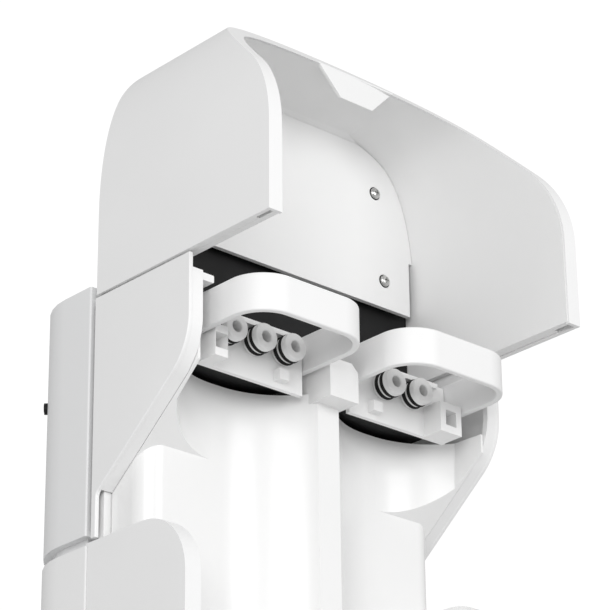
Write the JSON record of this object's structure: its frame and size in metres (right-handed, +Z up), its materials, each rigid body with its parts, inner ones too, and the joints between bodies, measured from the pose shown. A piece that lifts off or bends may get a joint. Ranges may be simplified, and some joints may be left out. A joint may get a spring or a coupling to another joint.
{
  "type": "countertop water dispenser",
  "caption": "Free-standing countertop water dispenser with open twin filter bays under a hood, locking collars, lift-off rear tank, lever spout and drip tray.",
  "frame": {"origin": "centre of the footprint at the level of the counter", "axes": "+Z up, the open front and the spout face -Y, +X to the right seen from the front"},
  "size_m": [0.201, 0.241, 0.523],
  "materials": {
    "white_abs": "satin white moulded ABS",
    "inner_white": "semi-matt white moulded ABS",
    "port_white": "smooth off-white polypropylene",
    "black_rubber": "soft black rubber",
    "black_plastic": "matt black moulded plastic",
    "steel": "plain stainless steel",
    "tank_white": "satin white moulded plastic",
    "tube_clear": "milky polyethylene tube",
    "board": "green solder mask"
  },
  "bodies": {
    "housing": {"back_frame": "inner_white", "base_plate": "white_abs", "bay_wall": "inner_white", "collar_pin_left": "steel", "collar_pin_right": "steel", "control_board": "board", "cover_screw_lower_left": "steel", "cover_screw_lower_right": "steel", "cover_screw_upper_left": "steel", "cover_screw_upper_right": "steel", "drip_platform": "white_abs", "feed_tube": "tube_clear", "filter_head_left": "inner_white", "filter_head_right": "inner_white", "foot_front_left": "black_rubber", "foot_front_right": "black_rubber", "foot_rear_left": "black_rubber", "foot_rear_right": "black_rubber", "hood_liner": "inner_white", "hood_shell": "white_abs", "inner_chassis": "black_plastic", "inner_cover": "inner_white", "lever_pin": "steel", "lower_housing": "white_abs", "port_left_1": "port_white", "port_left_2": "port_white", "port_left_3": "port_white", "port_right_1": "port_white", "port_right_2": "port_white", "power_inlet": "black_plastic", "pump_head": "black_plastic", "pump_motor": "steel", "rear_base": "white_abs", "riser_tube_left": "tube_clear", "riser_tube_right": "tube_clear", "seal_left_1_front": "black_rubber", "seal_left_1_rear": "black_rubber", "seal_left_2_front": "black_rubber", "seal_left_2_rear": "black_rubber", "seal_left_3_front": "black_rubber", "seal_left_3_rear": "black_rubber", "seal_right_1_front": "black_rubber", "seal_right_1_rear": "black_rubber", "seal_right_2_front": "black_rubber", "seal_right_2_rear": "black_rubber", "side_panel_left": "white_abs", "side_panel_right": "white_abs", "spout_block": "white_abs", "spout_outlet": "black_plastic", "tank_dock": "black_plastic"},
    "tank": {"water_tank": "tank_white", "wall_bumper_left": "black_rubber", "wall_bumper_right": "black_rubber", "lid_pin": "steel"},
    "tank_lid": {"tank_lid": "white_abs"},
    "collar_left": {"locking_collar_left": "white_abs"},
    "collar_right": {"locking_collar_right": "white_abs"},
    "tray": {"drip_tray": "white_abs", "drip_grille": "steel"},
    "lever": {"dispense_lever": "white_abs"}
  },
  "joints": [
    {"name": "tank_lift", "type": "slide", "parent": "housing", "child": "tank", "axis": [0, 0, 1], "range_m": [0, 0.13]},
    {"name": "lid_hinge", "type": "hinge", "parent": "tank", "child": "tank_lid", "pos_m": [0, 0.1, 0.387], "axis": [-1, 0, 0], "range_deg": [0, 80]},
    {"name": "collar_left_swing", "type": "hinge", "parent": "housing", "child": "collar_left", "pos_m": [-0.047, 0.0262, 0.36], "axis": [-1, 0, 0], "range_deg": [0, 75]},
    {"name": "collar_right_swing", "type": "hinge", "parent": "housing", "child": "collar_right", "pos_m": [0.047, 0.0262, 0.36], "axis": [-1, 0, 0], "range_deg": [0, 75]},
    {"name": "tray_slide", "type": "slide", "parent": "housing", "child": "tray", "axis": [0, -1, 0], "range_m": [0, 0.09]},
    {"name": "lever_press", "type": "hinge", "parent": "housing", "child": "lever", "pos_m": [0, -0.027, 0.144], "axis": [1, 0, 0], "range_deg": [0, 12], "stiffness_Nm_per_rad": 0.25}
  ]
}
